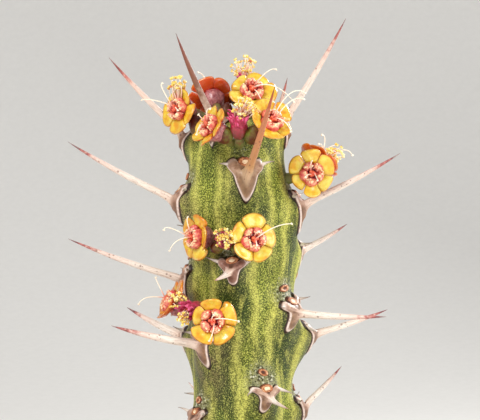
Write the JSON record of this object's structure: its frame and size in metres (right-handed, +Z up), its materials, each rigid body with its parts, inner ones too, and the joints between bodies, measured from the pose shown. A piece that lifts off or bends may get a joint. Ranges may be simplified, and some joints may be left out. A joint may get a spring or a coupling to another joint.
{
  "type": "crown of thorns plant (single-spined succulent spurge) in a clay pot",
  "caption": "Upright tubercled succulent spurge stem with long single spines on horny shields and yellow five-glanded flower heads, in a plain clay pot.",
  "frame": {"origin": "centre of the pot's underside, which stands on the surface", "axes": "+Z up along the stem from the pot's underside to the growing tip; -Y is the side the flower heads mostly face"},
  "size_m": [0.064, 0.064, 0.1424],
  "materials": {
    "pot": "matte",
    "soil": "matte",
    "stem": "satin",
    "glands": "satin",
    "hearts": "satin",
    "males": "satin"
  },
  "bodies": {
    "root": {"bloom_01_glands": "glands", "bloom_01_heart": "hearts", "bloom_02_glands": "glands", "bloom_02_heart": "hearts", "bloom_03_glands": "glands", "bloom_03_heart": "hearts", "bloom_04_glands": "glands", "bloom_04_heart": "hearts", "bloom_05_heart": "males", "bloom_06_glands": "glands", "bloom_06_heart": "hearts", "bloom_07_heart": "males", "bloom_08_glands": "glands", "bloom_08_heart": "hearts", "bloom_09_glands": "glands", "bloom_09_heart": "hearts", "bloom_10_glands": "glands", "bloom_10_heart": "hearts", "bloom_11_heart": "males", "bloom_12_glands": "glands", "bloom_12_heart": "hearts", "bloom_13_glands": "glands", "bloom_13_heart": "hearts", "bloom_14_heart": "males", "bloom_15_glands": "glands", "bloom_15_heart": "hearts", "bloom_16_glands": "glands", "bloom_16_heart": "hearts", "bloom_17_heart": "males", "bloom_18_glands": "glands", "bloom_18_heart": "hearts", "bloom_19_glands": "glands", "bloom_19_heart": "hearts", "bloom_20_heart": "males", "bloom_21_glands": "glands", "bloom_21_heart": "hearts", "bloom_22_glands": "glands", "bloom_22_heart": "hearts", "bloom_23_heart": "males", "bloom_24_glands": "glands", "bloom_24_heart": "hearts", "pot": "pot", "soil": "soil", "stem": "stem"}
  },
  "joints": []
}
